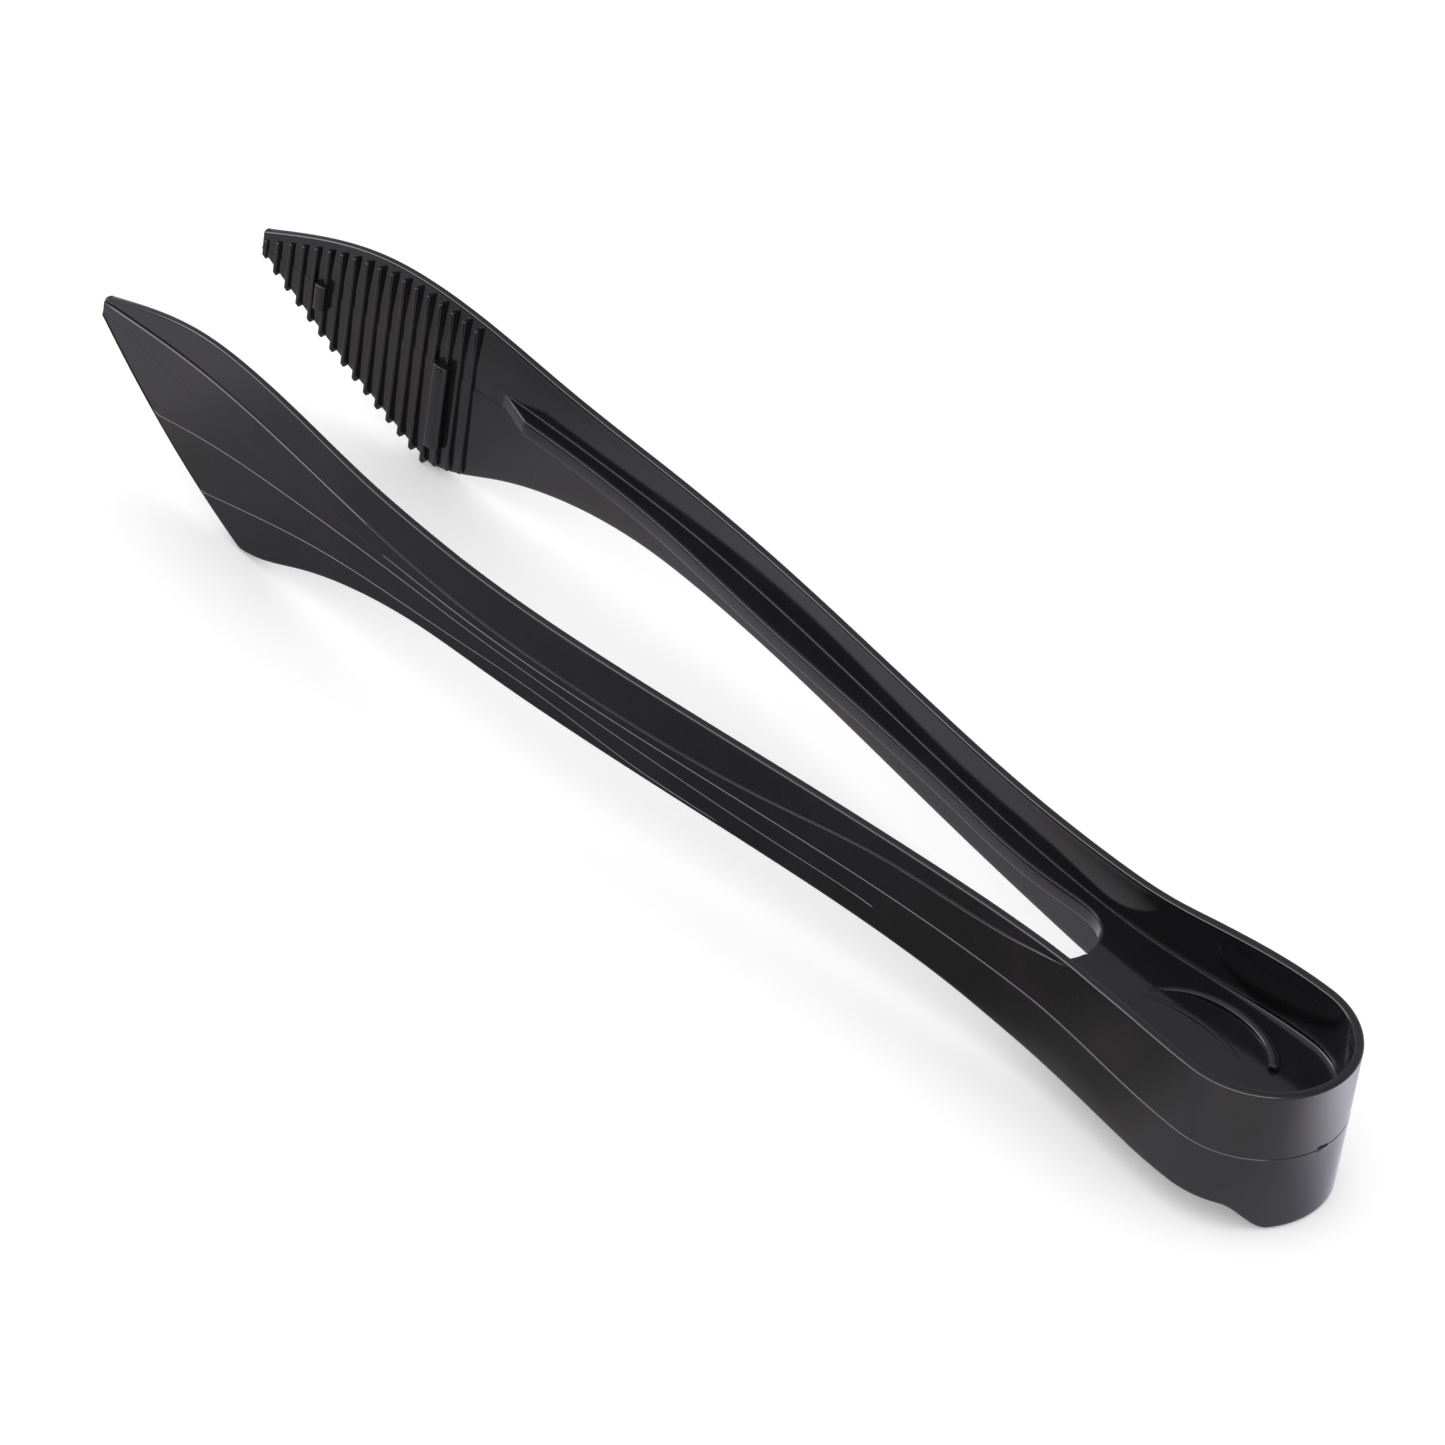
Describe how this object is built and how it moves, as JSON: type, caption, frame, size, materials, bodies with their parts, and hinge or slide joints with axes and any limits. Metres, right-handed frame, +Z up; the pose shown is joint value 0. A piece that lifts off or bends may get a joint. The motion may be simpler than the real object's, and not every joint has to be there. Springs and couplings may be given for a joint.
{
  "type": "serving tongs",
  "caption": "One-piece moulded serving tongs: a spring bow with a web across it, two flanged arms and two ribbed jaws with slanted ends.",
  "frame": {"origin": "on the surface the tongs stand on, under the middle of their outer box", "axes": "+X from the bow to the jaws' tips, +Y to the left arm, +Z up; the tongs are nose-up by about 1.9 degrees because they stand on the bow's foot and on the low corners of both jaws"},
  "size_m": [0.2302, 0.04, 0.03],
  "materials": {
    "plastic": "glossy black"
  },
  "bodies": {
    "bow": {"spring_bow": "plastic"},
    "left_side": {"left_arm": "plastic", "left_jaw": "plastic"},
    "right_side": {"right_arm": "plastic", "right_jaw": "plastic"}
  },
  "joints": [
    {"name": "left_arm_flex", "type": "hinge", "parent": "bow", "child": "left_side", "pos_m": [-0.06277, 0.01013, 0.01391], "axis": [-0.0331, 0, 0.9995], "range_deg": [-4.2, 2], "stiffness_Nm_per_rad": 1.2},
    {"name": "right_arm_flex", "type": "hinge", "parent": "bow", "child": "right_side", "pos_m": [-0.06277, -0.01013, 0.01391], "axis": [-0.0331, 0, 0.9995], "range_deg": [-2, 4.2], "stiffness_Nm_per_rad": 1.2}
  ],
  "couplings": [
    {"joint": "right_arm_flex", "follows": "left_arm_flex", "ratio": -1}
  ]
}
